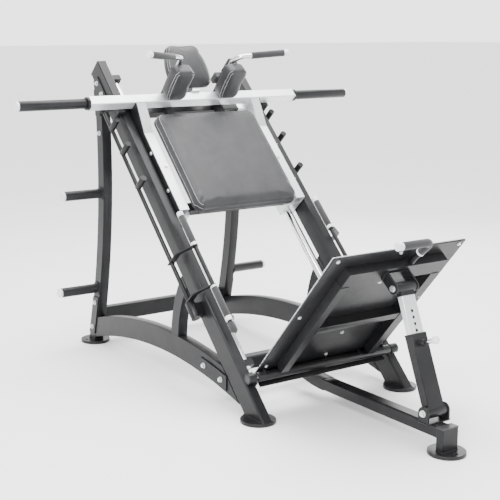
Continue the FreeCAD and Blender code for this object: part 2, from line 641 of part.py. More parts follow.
node("headrest_pad", [head_pad])
head_back = "-$head_thick - 0.4"
head_board = placed(block("-70", f"{head_back} - 10", "30", "140", "10", "$head_long - 60"), head_frame)
stem = placed(block("-20", f"{head_back} - 34", "50", "40", "24", "$head_long - 6"), head_frame)
tab = placed(block("-22", "-6", f"{bar_back} - 8", "44", "92", "8"), RAIL)
node("headrest_post", [fuse([stem, tab])])
boards = [back_board, head_board]

# the shoulder pads lean back from square to the rails; y runs up a pad, z out of its bearing face
shoulder_frame = RAIL.multiply(Placement(Vector(0, dim("shoulder_n"), dim("shoulder_u")),
                                         Rotation(X_AXIS, -dim("shoulder_lean"))))
pad_half = dim("shoulder_wide") / 2
pad_long = dim("shoulder_long")
behind = -dim("shoulder_thick") - 5
shoulder_pads = []
shoulder_brackets = []
handle_tubes = []
handle_grips = []
for s in SIDES.values():
    middle = s * dim("shoulder_x")
    outline = outline_of([Vector(middle - pad_half, 0, 0), Vector(middle + pad_half, 0, 0),
                          Vector(middle + pad_half, pad_long, 0), Vector(middle - pad_half, pad_long, 0)])
    shoulder_pads.append(cushion(outline, -dim("shoulder_thick"), dim("shoulder_corner"), Z_AXIS,
                                 shoulder_frame))
    boards.append(placed(block(f"{middle} - 43", "8", str(behind), "86", "152", "4.5"), shoulder_frame))
    spine_low = f"{middle} - $spine_wide / 2"
    spine = placed(block(spine_low, "-16", f"{behind} - $spine_thick", "$spine_wide", "$spine_long",
                         "$spine_thick"), shoulder_frame)
    toe = placed(block(spine_low, "$bar_n - 22", f"{bar_back} - 28", "$spine_wide", "46", "28"), RAIL)
    shoulder_brackets.append(fuse([spine, toe]))

    spine_top = dim("spine_long") - 16
    spine_middle = behind - dim("spine_thick") / 2
    root = shoulder_frame.multVec(Vector(middle, spine_top, spine_middle))
    rise = shoulder_frame.multVec(Vector(middle, spine_top + 32, spine_middle))
    bend = RAIL.multVec(Vector(s * 170, 292, 254))
    end = RAIL.multVec(Vector(s * 385, 361, 296))
    line = (end - bend).normalize()
    handle_tubes.append(bent_rod([root, rise, bend, end], dim("handle_radius"), dim("handle_bend")))
    handle_grips.append(sleeve_between(end - line * dim("grip_long"), end, "$grip_radius",
                                       "$handle_radius"))
    sled_caps.append(sleeve_between(end, end + line * dim("handle_cap"), "$grip_radius"))
node("shoulder_pads", shoulder_pads)
node("pad_boards", boards)
node("shoulder_brackets", shoulder_brackets)
node("handle_tubes", handle_tubes)
node("handle_grips", handle_grips)
node("sled_caps", sled_caps)

sled_bolts = []
cheek_outside = member_outside + dim("cheek_thick")
for s in SIDES.values():
    for u in (603, 823):
        sled_bolts.append(hex_bolt(s * cheek_outside, 12, u, 13, 4, "x", s))
    sled_bolts.append(hex_bolt(s * (dim("member_x") - 8), half, 690, 15, 6, "y"))
node("sled_bolts", sled_bolts, RAIL)

# ---------------------------------------------------------------- stop levers
ARM_OUTLINE = [(444, -84), (476, -84), (476, -10), (466, 10), (404, 64), (384, 64), (376, 52),
               (380, 40), (396, 36), (424, 24), (438, 10), (446, -6)]
GRIP_RUNS = (("$lever_grip", 996, 1142), ("$lever_grip", 1380, 1528), ("$lever_grip + 1", 1560, 1600))
COLLAR_RUNS = ((1142, 1156), (1371, 1380), (1528, 1548))
for side, s in SIDES.items():
    shaft_x = f"{s} * $shaft_x"
    lever_x = f"{s} * $lever_x"
    shaft = [round_bar("$shaft_radius", "$shaft_end - $shaft_top", shaft_x, "$shaft_n", "$shaft_top")]
    for u in ("$stop_first", "$stop_second", "$stop_third"):
        shaft.append(round_bar("$stop_radius", "$stop_tip - $shaft_n", shaft_x, "$shaft_n", u, "y"))
    welded = [fuse(shaft)]
    for level in ("arm_upper", "arm_lower"):
        outline = outline_of([Vector(s * x, n, dim(level)) for x, n in ARM_OUTLINE])
        blank = doc.addObject("Part::Feature", "Arm")
        blank.Shape = Part.Face(Part.Wire(outline)).extrude(Z_AXIS * dim("arm_thick"))
        eye = cut(blank, round_bar("$shaft_radius", "40", shaft_x, "$shaft_n", f"${level} - 20"))
        welded.append(cut(eye, round_bar("$lever_radius", "40", lever_x, "$lever_n", f"${level} - 20")))
    node(f"stop_shaft_{side}", welded, RAIL)
    node(f"stop_lever_{side}", [round_bar("$lever_radius", "$lever_end - $lever_top", lever_x,
                                          "$lever_n", "$lever_top")], RAIL)
    grips = []
    for radius, start, stop in GRIP_RUNS:
        sleeve = round_bar(radius, str(stop - start), lever_x, "$lever_n", str(start))
        grips.append(cut(sleeve, round_bar("$lever_radius", str(stop - start), lever_x, "$lever_n",
                                           str(start))))
    node(f"stop_grips_{side}", grips, RAIL)
    cup = round_bar("$lever_grip", "22", lever_x, "$lever_n", "974")
    caps = [cut(cup, round_bar("$lever_radius", "12", lever_x, "$lever_n", "$lever_top"))]
    for start, stop in COLLAR_RUNS:
        collar = round_bar("$lever_grip + 0.5", str(stop - start), lever_x, "$lever_n", str(start))
        caps.append(cut(collar, round_bar("$lever_radius", str(stop - start), lever_x, "$lever_n",
                                          str(start))))
    node(f"stop_caps_{side}", caps, RAIL)

# ---------------------------------------------------------------- foot plate
node("foot_tread", [block("-$plate_half - 4", "-$tread_thick", "0", "2 * $plate_half + 8",
                          "$tread_thick", "$plate_long")], PLATE)
tray = block("-$plate_half", "-$tread_thick - $tray_thick", "2", "2 * $plate_half", "$tray_thick",
             "$plate_long - 4")
lip = block("-$plate_half", "-$lip_deep", "2", "2 * $plate_half", "$lip_deep - $tread_thick",
            "$lip_thick")
node("foot_tray", [fuse([tray, lip])], PLATE)
under = "(-$tread_thick - $tray_thick)"
frame_low = f"({under} - $frame_tube)"
stringer_out = "($stringer_x + $frame_tube / 2)"
stringer_in = "($stringer_x - $frame_tube / 2)"
tubes = [block(f"-{stringer_out}", frame_low, "$upper_tube", f"2 * {stringer_out}", "$frame_tube",
               "$upper_tall"),
         block(f"-{stringer_in}", frame_low, "$middle_tube", f"2 * {stringer_in}", "$frame_tube",
               "$frame_tube")]
for s in SIDES.values():
    tubes.append(block(f"{s} * $stringer_x - $frame_tube / 2", frame_low, "$stringer_foot", "$frame_tube",
                       "$frame_tube", "$upper_tube - $stringer_foot"))
ears = []
for s in SIDES.values():
    x = "$ear_x" if s > 0 else "-$ear_x - $ear_thick"
    ears.append(block(x, "$clevis_m", "$clevis_s - $ear_radius", "$ear_thick", f"{frame_low} - ($clevis_m)",
                      "2 * $ear_radius"))
    ears.append(round_bar("$ear_radius", "$ear_thick", x, "$clevis_m", "$clevis_s", "x"))
bridge = block("-$ear_x", f"{frame_low} - 6", "$clevis_s - $ear_radius", "2 * $ear_x", "6",
               "2 * $ear_radius")
clevis = cut(fuse(ears + [bridge]),
             round_bar("$clevis_bolt", "200", "-100", "$clevis_m", "$clevis_s", "x"))
node("foot_frame", tubes + [clevis], PLATE)

hinge_bar = round_bar("$hinge_radius", "2 * $hinge_half", "-$hinge_half", "$hinge_m", "$hinge_s", "x")
webs = []
for x in (-330, -190, 0, 190, 330):
    webs.append(block(f"{x} - 4", f"{under} - 30", "20", "8", "30", "42"))
node("hinge_tube", [cut(fuse([hinge_bar] + webs),
                        round_bar("$axle_radius + $running_gap", "2 * $hinge_half", "-$hinge_half",
                                  "$hinge_m", "$hinge_s", "x"))], PLATE)

# the lift handle rises from the upper cross tube and turns towards -X
lift_x = dim("lift_x")
lift_top = dim("lift_top")
lift_foot = dim("upper_tube") + dim("upper_tall")
lift_path = [Vector(lift_x, dim("lift_m"), lift_foot), Vector(lift_x, dim("lift_m"), lift_foot + 35),
             Vector(lift_x, dim("lift_crook"), lift_top),
             Vector(dim("lift_end"), dim("lift_crook"), lift_top)]
node("lift_handle", [bent_rod(lift_path, dim("handle_radius"), 30)], PLATE)
climb = lift_path[2] - lift_path[1]
grip_start = lift_path[1] + climb * 0.36
grip_path = [grip_start, lift_path[2], lift_path[3]]
node("lift_grip", [cut(bent_rod(grip_path, dim("grip_radius"), 30),
                       bent_rod(grip_path, dim("handle_radius"), 30))], PLATE)
lift_caps = [sleeve_between(grip_start - climb * 0.07, grip_start, "$grip_radius + 0.5", "$handle_radius"),
             sleeve_between(lift_path[3], lift_path[3] - X_AXIS * dim("lift_cap"), "$grip_radius")]
node("lift_caps", lift_caps, PLATE)

clevis_side = dim("ear_x") + dim("ear_thick")
clevis_pin = [round_bar("$clevis_bolt", str(2 * clevis_side), str(-clevis_side), "$clevis_m",
                        "$clevis_s", "x")]
for s in SIDES.values():
    clevis_pin.append(hex_bolt(s * clevis_side, dim("clevis_m"), dim("clevis_s"), 19, 8, "x", s))
plate_bolts = [fuse(clevis_pin)]
tray_back = -dim("tread_thick") - dim("tray_thick")
for x, heights in ((-322, (74, 413, 765)), (0, (74, 235, 581, 765)), (322, (74, 413, 765))):
    for height in heights:
        plate_bolts.append(screw("6", "4", Placement(Vector(x, tray_back, height), Rotation(X_AXIS, 90))))
node("plate_bolts", plate_bolts, PLATE)

# ---------------------------------------------------------------- strut
outer = rect_tube("0", "0", "$outer_start", "$outer_wide", "$outer_deep", "$outer_long - $outer_start",
                  "$outer_wall", "$corner / 2")
drum = round_bar("$drum_radius", "2 * $drum_half", "-$drum_half", "0", "0", "x")
boss = round_bar("13", "26", "0", "-$outer_deep / 2 - 26", "$hole_first", "y")
pin_bored = cut(fuse([outer, drum, boss]),
                round_bar("$pin_radius + 0.1", "60", "0", "-60", "$hole_first", "y"))
node("strut_outer", [cut(pin_bored, round_bar("$pivot_radius + $running_gap", "2 * $drum_half",
                                              "-$drum_half", "0", "0", "x"))], STRUT)

inner = rect_tube("0", "0", "$inner_start", "$inner_wide", "$inner_deep", "$inner_end - $inner_start",
                  "$tube_wall", "$corner / 2")
for index in range(-2, 6):
    inner = cut(inner, round_bar("$hole_radius", "$inner_deep", "0", "-$inner_deep",
                                 f"$hole_first + {index} * $hole_pitch", "y"))
node("strut_inner", [inner], STRUT)
pivot_up = str(STRUT_LINE.Length)
neck = centred("0", "0", "$inner_end", "$inner_wide", "$inner_deep", f"{pivot_up} - $inner_end")
crown = round_bar("$head_drum", "2 * $drum_half", "-$drum_half", "0", pivot_up, "x")
node("strut_head", [cut(fuse([neck, crown]),
                        round_bar("$pivot_radius", "200", "-100", "0", pivot_up, "x"))], STRUT)
sleeve = centred("0", "0", "$outer_long - $bush_long", "$outer_wide - 2 * $outer_wall - 0.4",
                 "$outer_deep - 2 * $outer_wall - 0.4", "$bush_long")
rim = centred("0", "0", "$outer_long", "$outer_wide", "$outer_deep", "$rim_thick")
opening = centred("0", "0", "$outer_long - $bush_long", "$inner_wide + 0.1", "$inner_deep + 0.1",
                  "$bush_long + $rim_thick")
node("strut_bush", [cut(fuse([sleeve, rim]), opening)], STRUT)
boss_face = "(-$outer_deep / 2 - 26)"
ball_y = f"{boss_face} - 40 - $knob_neck - $knob_radius / 2"
node("pop_pin", [fuse([round_bar("$pin_radius", "70", "0", "-$inner_deep / 2 - 70.5", "$hole_first", "y"),
                       round_bar("9", "36", "0", f"{boss_face} - 40", "$hole_first", "y")])], STRUT)
ball = place(bind(doc.addObject("Part::Sphere", "Ball"), Radius="$knob_radius"), "0", ball_y,
             "$hole_first")
knob_root = round_bar("$knob_radius / 2", "$knob_neck + $knob_radius / 2", "0", ball_y, "$hole_first", "y")
node("pop_pin_knob", [fuse([ball, knob_root])], STRUT)

# ---------------------------------------------------------------- checks and files
doc.recompute()
for thing in doc.Objects:
    if "Invalid" in thing.State or "Error" in thing.State:
        raise RuntimeError(f"{thing.Name} ({thing.TypeId}) failed: {thing.State}")
os.makedirs("parts", exist_ok=True)
for part in NODES:
    if part.Shape.isNull() or not part.Shape.isValid() or not part.Shape.Solids:
        raise RuntimeError(f"{part.Label} has no valid solid")
    part.Shape.exportStep(f"parts/{part.Label}.step")
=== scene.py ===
import json
import math

import bmesh
import bpy
from mathutils import Matrix, Vector
from mathutils.bvhtree import BVHTree


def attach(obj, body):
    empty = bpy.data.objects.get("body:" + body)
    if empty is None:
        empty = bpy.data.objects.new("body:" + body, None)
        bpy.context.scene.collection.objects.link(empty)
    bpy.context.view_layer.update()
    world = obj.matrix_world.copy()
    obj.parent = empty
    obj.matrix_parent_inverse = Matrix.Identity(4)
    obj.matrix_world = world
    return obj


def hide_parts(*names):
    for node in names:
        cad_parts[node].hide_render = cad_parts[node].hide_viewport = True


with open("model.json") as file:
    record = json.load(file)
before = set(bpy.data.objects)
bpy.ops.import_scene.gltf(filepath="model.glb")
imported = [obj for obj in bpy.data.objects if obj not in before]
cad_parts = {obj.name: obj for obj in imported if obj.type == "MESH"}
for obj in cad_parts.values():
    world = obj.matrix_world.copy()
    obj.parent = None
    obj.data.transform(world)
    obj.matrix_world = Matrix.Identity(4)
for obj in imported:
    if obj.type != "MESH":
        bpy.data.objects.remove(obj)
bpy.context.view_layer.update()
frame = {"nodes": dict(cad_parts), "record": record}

NODES = frame["nodes"]

# ------------------------------------------------------------------ frames of the machine, metres
RAIL_ANGLE = math.radians(46)
RAIL_TOP = Vector((0, 0.945, 1.460))
ACROSS = Vector((1, 0, 0))
UP_RAIL = Vector((0, math.cos(RAIL_ANGLE), math.sin(RAIL_ANGLE)))
OFF_RAIL = Vector((0, -math.sin(RAIL_ANGLE), math.cos(RAIL_ANGLE)))
PLATE_ANGLE = math.radians(49.5)
PLATE_FOOT = Vector((0, -0.2835, 0.162))
UP_PLATE = Vector((0, -math.cos(PLATE_ANGLE), math.sin(PLATE_ANGLE)))
OFF_PLATE = Vector((0, math.sin(PLATE_ANGLE), math.cos(PLATE_ANGLE)))
SIDES = {"left": -1, "right": 1}
LUG_U = 1.8150


def rail_point(x, n, u):
    """A point x across, n above the guide beams and u down them from their top end."""
    return RAIL_TOP + ACROSS * x + OFF_RAIL * n - UP_RAIL * u


def plate_point(x, m, s):
    """A point x across, m out of the standing face and s up the foot plate."""
    return PLATE_FOOT + ACROSS * x + OFF_PLATE * m + UP_PLATE * s


def frame_matrix(origin, x_axis, y_axis):
    """A local frame from its origin and its first two axes."""
    z_axis = x_axis.cross(y_axis)
    turned = Matrix((x_axis, y_axis, z_axis)).transposed()
    return Matrix.Translation(origin) @ turned.to_4x4()


# ------------------------------------------------------------------ materials
class Nodes:
    """A short way to build one material's node tree."""

    def __init__(self, name):
        self.material = bpy.data.materials.new(name)
        self.material.use_nodes = True
        self.tree = self.material.node_tree
        self.shader = self.tree.nodes["Principled BSDF"]
        coordinates = self.add("ShaderNodeTexCoord")
        self.place = coordinates.outputs["Object"]

    def add(self, kind, **settings):
        made = self.tree.nodes.new(kind)
        for key, value in settings.items():
            setattr(made, key, value)
        return made

    def join(self, source, target):
        self.tree.links.new(source, target)

    def noise(self, scale, detail=3.0, rough=0.5, stretch=None):
        """Noise in metres of the object: scale is cells per metre."""
        made = self.add("ShaderNodeTexNoise")
        made.inputs["Scale"].default_value = scale
        made.inputs["Detail"].default_value = detail
        made.inputs["Roughness"].default_value = rough
        source = self.place
        if stretch:
            mapping = self.add("ShaderNodeMapping")
            mapping.inputs["Scale"].default_value = stretch
            self.join(self.place, mapping.inputs["Vector"])
            source = mapping.outputs["Vector"]
        self.join(source, made.inputs["Vector"])
        return made.outputs["Fac"]

    def cells(self, scale, feature="F1"):
        made = self.add("ShaderNodeTexVoronoi", feature=feature)
        made.inputs["Scale"].default_value = scale
        self.join(self.place, made.inputs["Vector"])
        return made.outputs["Distance"]

    def ramp(self, factor, stops):
        made = self.add("ShaderNodeValToRGB")
        ramp = made.color_ramp
        while len(ramp.elements) < len(stops):
            ramp.elements.new(0.5)
        for element, (position, colour) in zip(ramp.elements, stops):
            element.position = position
            element.color = (*colour, 1)
        self.join(factor, made.inputs["Fac"])
        return made.outputs["Color"]

    def span(self, factor, low, high, source=(0, 1)):
        """Map a factor to a range of numbers."""
        made = self.add("ShaderNodeMapRange")
        made.inputs["From Min"].default_value = source[0]
        made.inputs["From Max"].default_value = source[1]
        made.inputs["To Min"].default_value = low
        made.inputs["To Max"].default_value = high
        self.join(factor, made.inputs["Value"])
        return made.outputs["Result"]

    def mix(self, factor, first, second):
        """Mix two colours by a factor."""
        made = self.add("ShaderNodeMix", data_type="RGBA")
        self.join(factor, made.inputs["Factor"])
        self.join(first, made.inputs[6])
        self.join(second, made.inputs[7])
        return made.outputs[2]

    def maths(self, operation, first, second):
        made = self.add("ShaderNodeMath", operation=operation)
        for socket, value in zip(made.inputs, (first, second)):
            if isinstance(value, (int, float)):
                socket.default_value = value
            else:
                self.join(value, socket)
        return made.outputs["Value"]

    def bump(self, heights):
        """A chain of bumps: pairs of a height source and its depth in metres."""
        normal = None
        for height, depth in heights:
            made = self.add("ShaderNodeBump")
            made.inputs["Distance"].default_value = depth
            self.join(height, made.inputs["Height"])
            if normal:
                self.join(normal, made.inputs["Normal"])
            normal = made.outputs["Normal"]
        self.join(normal, self.shader.inputs["Normal"])

    def colour(self, source):
        self.join(source, self.shader.inputs["Base Color"])

    def rough(self, source):
        self.join(source, self.shader.inputs["Roughness"])

    def fixed(self, **values):
        for key, value in values.items():
            self.shader.inputs[key.replace("_", " ")].default_value = value
        return self


def powder_coat(name, dark, light, rough, peel=0.00005, metal=0.0):
    """Powder coat on steel: faint orange peel, dust in broad patches, wear on sharp edges."""
    made = Nodes(name)
    patches = made.noise(9, 4)
    base = made.ramp(patches, [(0.35, dark), (0.7, light)])
    edge = made.add("ShaderNodeNewGeometry").outputs["Pointiness"]
    worn = made.ramp(edge, [(0.52, (0, 0, 0)), (0.6, (1, 1, 1))])
    scuffs = made.maths("MULTIPLY", worn, made.noise(60, 5, 0.7))
    lighter = tuple(min(1.0, value * 1.6 + 0.008) for value in light)
    bare = made.ramp(patches, [(0, lighter), (1, lighter)])
    made.colour(made.mix(made.maths("MULTIPLY", scuffs, 0.6), base, bare))
    made.rough(made.span(made.noise(35, 5, 0.6), rough - 0.05, rough + 0.08))
    made.bump([(made.noise(420, 2), peel), (made.noise(14, 2), 0.0004)])
    made.fixed(Metallic=metal, Coat_Weight=0.06, Coat_Roughness=0.12, Specular_IOR_Level=0.22)
    return made.material


def chrome_plate():
    """Hard chrome: fine turning lines and a haze of handling marks."""
    made = Nodes("chrome_plate")
    haze = made.noise(40, 5, 0.65)
    made.colour(made.ramp(haze, [(0.3, (0.72, 0.73, 0.75)), (0.75, (0.86, 0.87, 0.88))]))
    made.rough(made.span(haze, 0.08, 0.2))
    made.bump([(made.noise(160, 2, 0.5, (1, 12, 12)), 0.00002)])
    made.fixed(Metallic=1.0)
    return made.material


def zinc_plate():
    """Bright zinc on bolts: pale, slightly blue, brushed and blotchy."""
    made = Nodes("zinc_plate")
    blotch = made.noise(180, 4, 0.7)
    made.colour(made.ramp(blotch, [(0.3, (0.55, 0.57, 0.6)), (0.7, (0.86, 0.86, 0.85))]))
    made.rough(made.span(blotch, 0.22, 0.4))
    made.bump([(made.noise(900, 2), 0.00006)])
    made.fixed(Metallic=0.9)
    return made.material


def moulded(name, dark, light, rough, grain=600, depth=0.00008):
    """Moulded plastic or rubber: fine spark-eroded grain and slight mottling."""
    made = Nodes(name)
    made.colour(made.ramp(made.noise(55, 4), [(0.3, dark), (0.7, light)]))
    made.rough(made.span(made.noise(90, 4), rough - 0.06, rough + 0.08))
    made.bump([(made.noise(grain, 3), depth)])
    return made.material


def grip_foam():
    """Closed-cell foam sleeve: matt, pitted, with faint rings along it."""
    made = Nodes("grip_foam")
    pits_and_pit_shade = made.cells(750)
    # The pits are real dents in the bump; their darker colour towards the pit centres is painted
    # shade in the pits.
    made.colour(made.ramp(pits_and_pit_shade, [(0.05, (0.008, 0.008, 0.009)), (0.6, (0.03, 0.03, 0.032))]))
    made.rough(made.span(made.noise(120, 3), 0.72, 0.92))
    made.bump([(pits_and_pit_shade, 0.00025), (made.noise(60, 3), 0.0006)])
    made.fixed(Specular_IOR_Level=0.35, Sheen_Weight=0.25, Sheen_Roughness=0.5)
    return made.material


def leather(name, dark, light, rough):
    """Artificial leather: pebble grain, soft creases and a light sheen."""
    made = Nodes(name)
    pebbles = made.cells(850)
    creases = made.cells(190, "DISTANCE_TO_EDGE")
    tone = made.noise(14, 5, 0.6)
    base = made.ramp(tone, [(0.3, dark), (0.72, light)])
    # The grain's pits, where the pebble bump sinks, are multiplied darker: painted shade in the
    # pits laid over the leather's own tone.
    painted_pore_shade = made.ramp(pebbles, [(0.0, (0.55, 0.55, 0.55)), (0.5, (1, 1, 1))])
    shaded = made.add("ShaderNodeMix", data_type="RGBA", blend_type="MULTIPLY")
    shaded.inputs["Factor"].default_value = 0.55
    made.join(base, shaded.inputs[6])
    made.join(painted_pore_shade, shaded.inputs[7])
    made.colour(shaded.outputs[2])
    made.rough(made.span(made.noise(45, 4), rough - 0.06, rough + 0.1))
    folds = made.ramp(creases, [(0.0, (0, 0, 0)), (0.09, (1, 1, 1))])
    made.bump([(pebbles, 0.00022), (folds, 0.00008), (made.noise(22, 3), 0.0012)])
    made.fixed(Sheen_Weight=0.08, Sheen_Roughness=0.45, Specular_IOR_Level=0.42)
    return made.material


def sewing_thread():
    """Pale twisted thread."""
    made = Nodes("sewing_thread")
    twist = made.noise(2600, 2, 0.5, (1, 1, 3))
    made.colour(made.ramp(twist, [(0.3, (0.5, 0.5, 0.5)), (0.7, (0.85, 0.85, 0.84))]))
    made.rough(made.span(twist, 0.55, 0.75))
    made.bump([(twist, 0.0003)])
    return made.material


def tread_sheet():
    """Aluminium tread sheet: raised lozenges in two directions on the standing face."""
    made = Nodes("tread_sheet")
    plane = made.add("ShaderNodeMapping")
    plane.inputs["Rotation"].default_value = (PLATE_ANGLE - math.pi, 0, 0)
    made.join(made.place, plane.inputs["Vector"])
    bars = []
    for lean, shift in ((45, 0.0), (-45, 0.5)):
        mapping = made.add("ShaderNodeMapping")
        mapping.inputs["Rotation"].default_value = (0, 0, math.radians(lean))
        mapping.inputs["Location"].default_value = (shift, shift, 0)
        mapping.inputs["Scale"].default_value = (28, 28, 28)
        made.join(plane.outputs["Vector"], mapping.inputs["Vector"])
        cell = made.add("ShaderNodeVectorMath", operation="FRACTION")
        made.join(mapping.outputs["Vector"], cell.inputs[0])
        split = made.add("ShaderNodeSeparateXYZ")
        made.join(cell.outputs["Vector"], split.inputs["Vector"])
        wide = made.maths("ABSOLUTE", made.maths("SUBTRACT", split.outputs["X"], 0.5), 0)
        long = made.maths("ABSOLUTE", made.maths("SUBTRACT", split.outputs["Y"], 0.5), 0)
        oval = made.maths("ADD", made.maths("MULTIPLY", wide, 5.0),
                          made.maths("MULTIPLY", long, 1.6))
        bars.append(made.span(oval, 1, 0, (0.35, 0.75)))
    lozenges = made.maths("MAXIMUM", bars[0], bars[1])
    scratches = made.noise(70, 5, 0.7, (1, 6, 1))
    made.colour(made.ramp(scratches, [(0.3, (0.55, 0.56, 0.57)), (0.75, (0.85, 0.86, 0.87))]))
    made.rough(made.span(scratches, 0.24, 0.42))
    made.bump([(lozenges, 0.0016), (scratches, 0.00008)])
    made.fixed(Metallic=0.85)
    return made.material


BLACK = powder_coat("black_powder_coat", (0.006, 0.006, 0.007), (0.012, 0.012, 0.013), 0.34)
SILVER = powder_coat("silver_powder_coat", (0.6, 0.61, 0.63), (0.72, 0.73, 0.75), 0.3, 0.00006, 0.6)
CHROME = chrome_plate()
ZINC = zinc_plate()
RUBBER = moulded("black_rubber", (0.012, 0.012, 0.012), (0.03, 0.03, 0.03), 0.62)
FOAM = grip_foam()
PALE = moulded("pale_plastic", (0.66, 0.67, 0.68), (0.8, 0.8, 0.8), 0.28, 300, 0.00003)
DARK_PLASTIC = moulded("black_plastic", (0.012, 0.012, 0.013), (0.024, 0.024, 0.026), 0.42)
TREAD = tread_sheet()
LEATHER = leather("upholstery", (0.015, 0.015, 0.017), (0.027, 0.027, 0.03), 0.42)
THREAD = sewing_thread()

SLOT_MATERIALS = {
    "black_powder_coat": BLACK, "silver_powder_coat": SILVER, "chrome_plate": CHROME,
    "zinc_plate": ZINC, "black_rubber": RUBBER, "black_foam": FOAM, "pale_plastic": PALE,
    "black_plastic": DARK_PLASTIC, "tread_plate": TREAD, "upholstery": LEATHER,
}


def dress_cad_nodes():
    """Every CAD node takes the material of its slot, and sharp edges get a small rolled radius."""
    for entry in frame["record"]["subparts"]:
        piece = NODES[entry["node"]]
        piece.data.materials.clear()
        piece.data.materials.append(SLOT_MATERIALS[entry["material_slot"]])
        weld = piece.modifiers.new("weld", "WELD")
        weld.merge_threshold = 0.00002
        bevel = piece.modifiers.new("edges", "BEVEL")
        bevel.width = 0.0012
        bevel.segments = 2
        bevel.limit_method = "ANGLE"
        bevel.angle_limit = math.radians(40)
        bevel.harden_normals = True


dress_cad_nodes()


# ------------------------------------------------------------------ cushions
CORNER_STEPS = 10


def new_object(name, mesh, material):
    piece = bpy.data.objects.new(name, mesh)
    bpy.context.scene.collection.objects.link(piece)
    mesh.materials.append(material)
    mesh.polygons.foreach_set("use_smooth", [True] * len(mesh.polygons))
    return piece


def rounded_outline(low_half, high_half, length, radius, bow):
    """A rounded trapezoid about its centre with its sides bowed outwards, as ordered points."""
    half = length / 2
    corners = [(low_half, -half), (high_half, half), (-high_half, half), (-low_half, -half)]
    points = []
    for index, (x, y) in enumerate(corners):
        centre_x = x - math.copysign(radius, x)
        centre_y = y - math.copysign(radius, y)
        start = math.radians(-90 + 90 * index)
        for step in range(CORNER_STEPS + 1):
            angle = start + math.radians(90) * step / CORNER_STEPS
            spot_x = centre_x + radius * math.cos(angle)
            spot_y = centre_y + radius * math.sin(angle)
            points.append((spot_x, spot_y))
        after_x, after_y = corners[(index + 1) % 4]
        if index % 2 == 0:
            first_x, first_y = points[-1]
            turned = start + math.pi / 2
            last_x = after_x - math.copysign(radius, after_x) + radius * math.cos(turned)
            last_y = after_y - math.copysign(radius, after_y) + radius * math.sin(turned)
            for step in range(1, CORNER_STEPS):
                part = step / CORNER_STEPS
                swell = bow * 4 * part * (1 - part)
                points.append((first_x + (last_x - first_x) * part + math.copysign(swell, first_x),
                               first_y + (last_y - first_y) * part))
    return points


EDGE_TURNS = (0, 25, 50, 70, 90)
CROWN_STEPS = (0.2, 0.4, 0.6, 0.8, 0.93)
VOXEL = 0.006
SWELL_FRAMES = 20
SEAM_REACH = 0.010
SEAM_DEPTH = 0.0016
SEAM_INSET = 0.55
STITCH_OFFSET = 0.0045
STITCH_SHAPE = ((0.0, 0.35, 0.8), (0.2, 0.95, 0.1), (0.5, 1.0, 0.0), (0.8, 0.95, 0.1),
                (1.0, 0.35, 0.8))


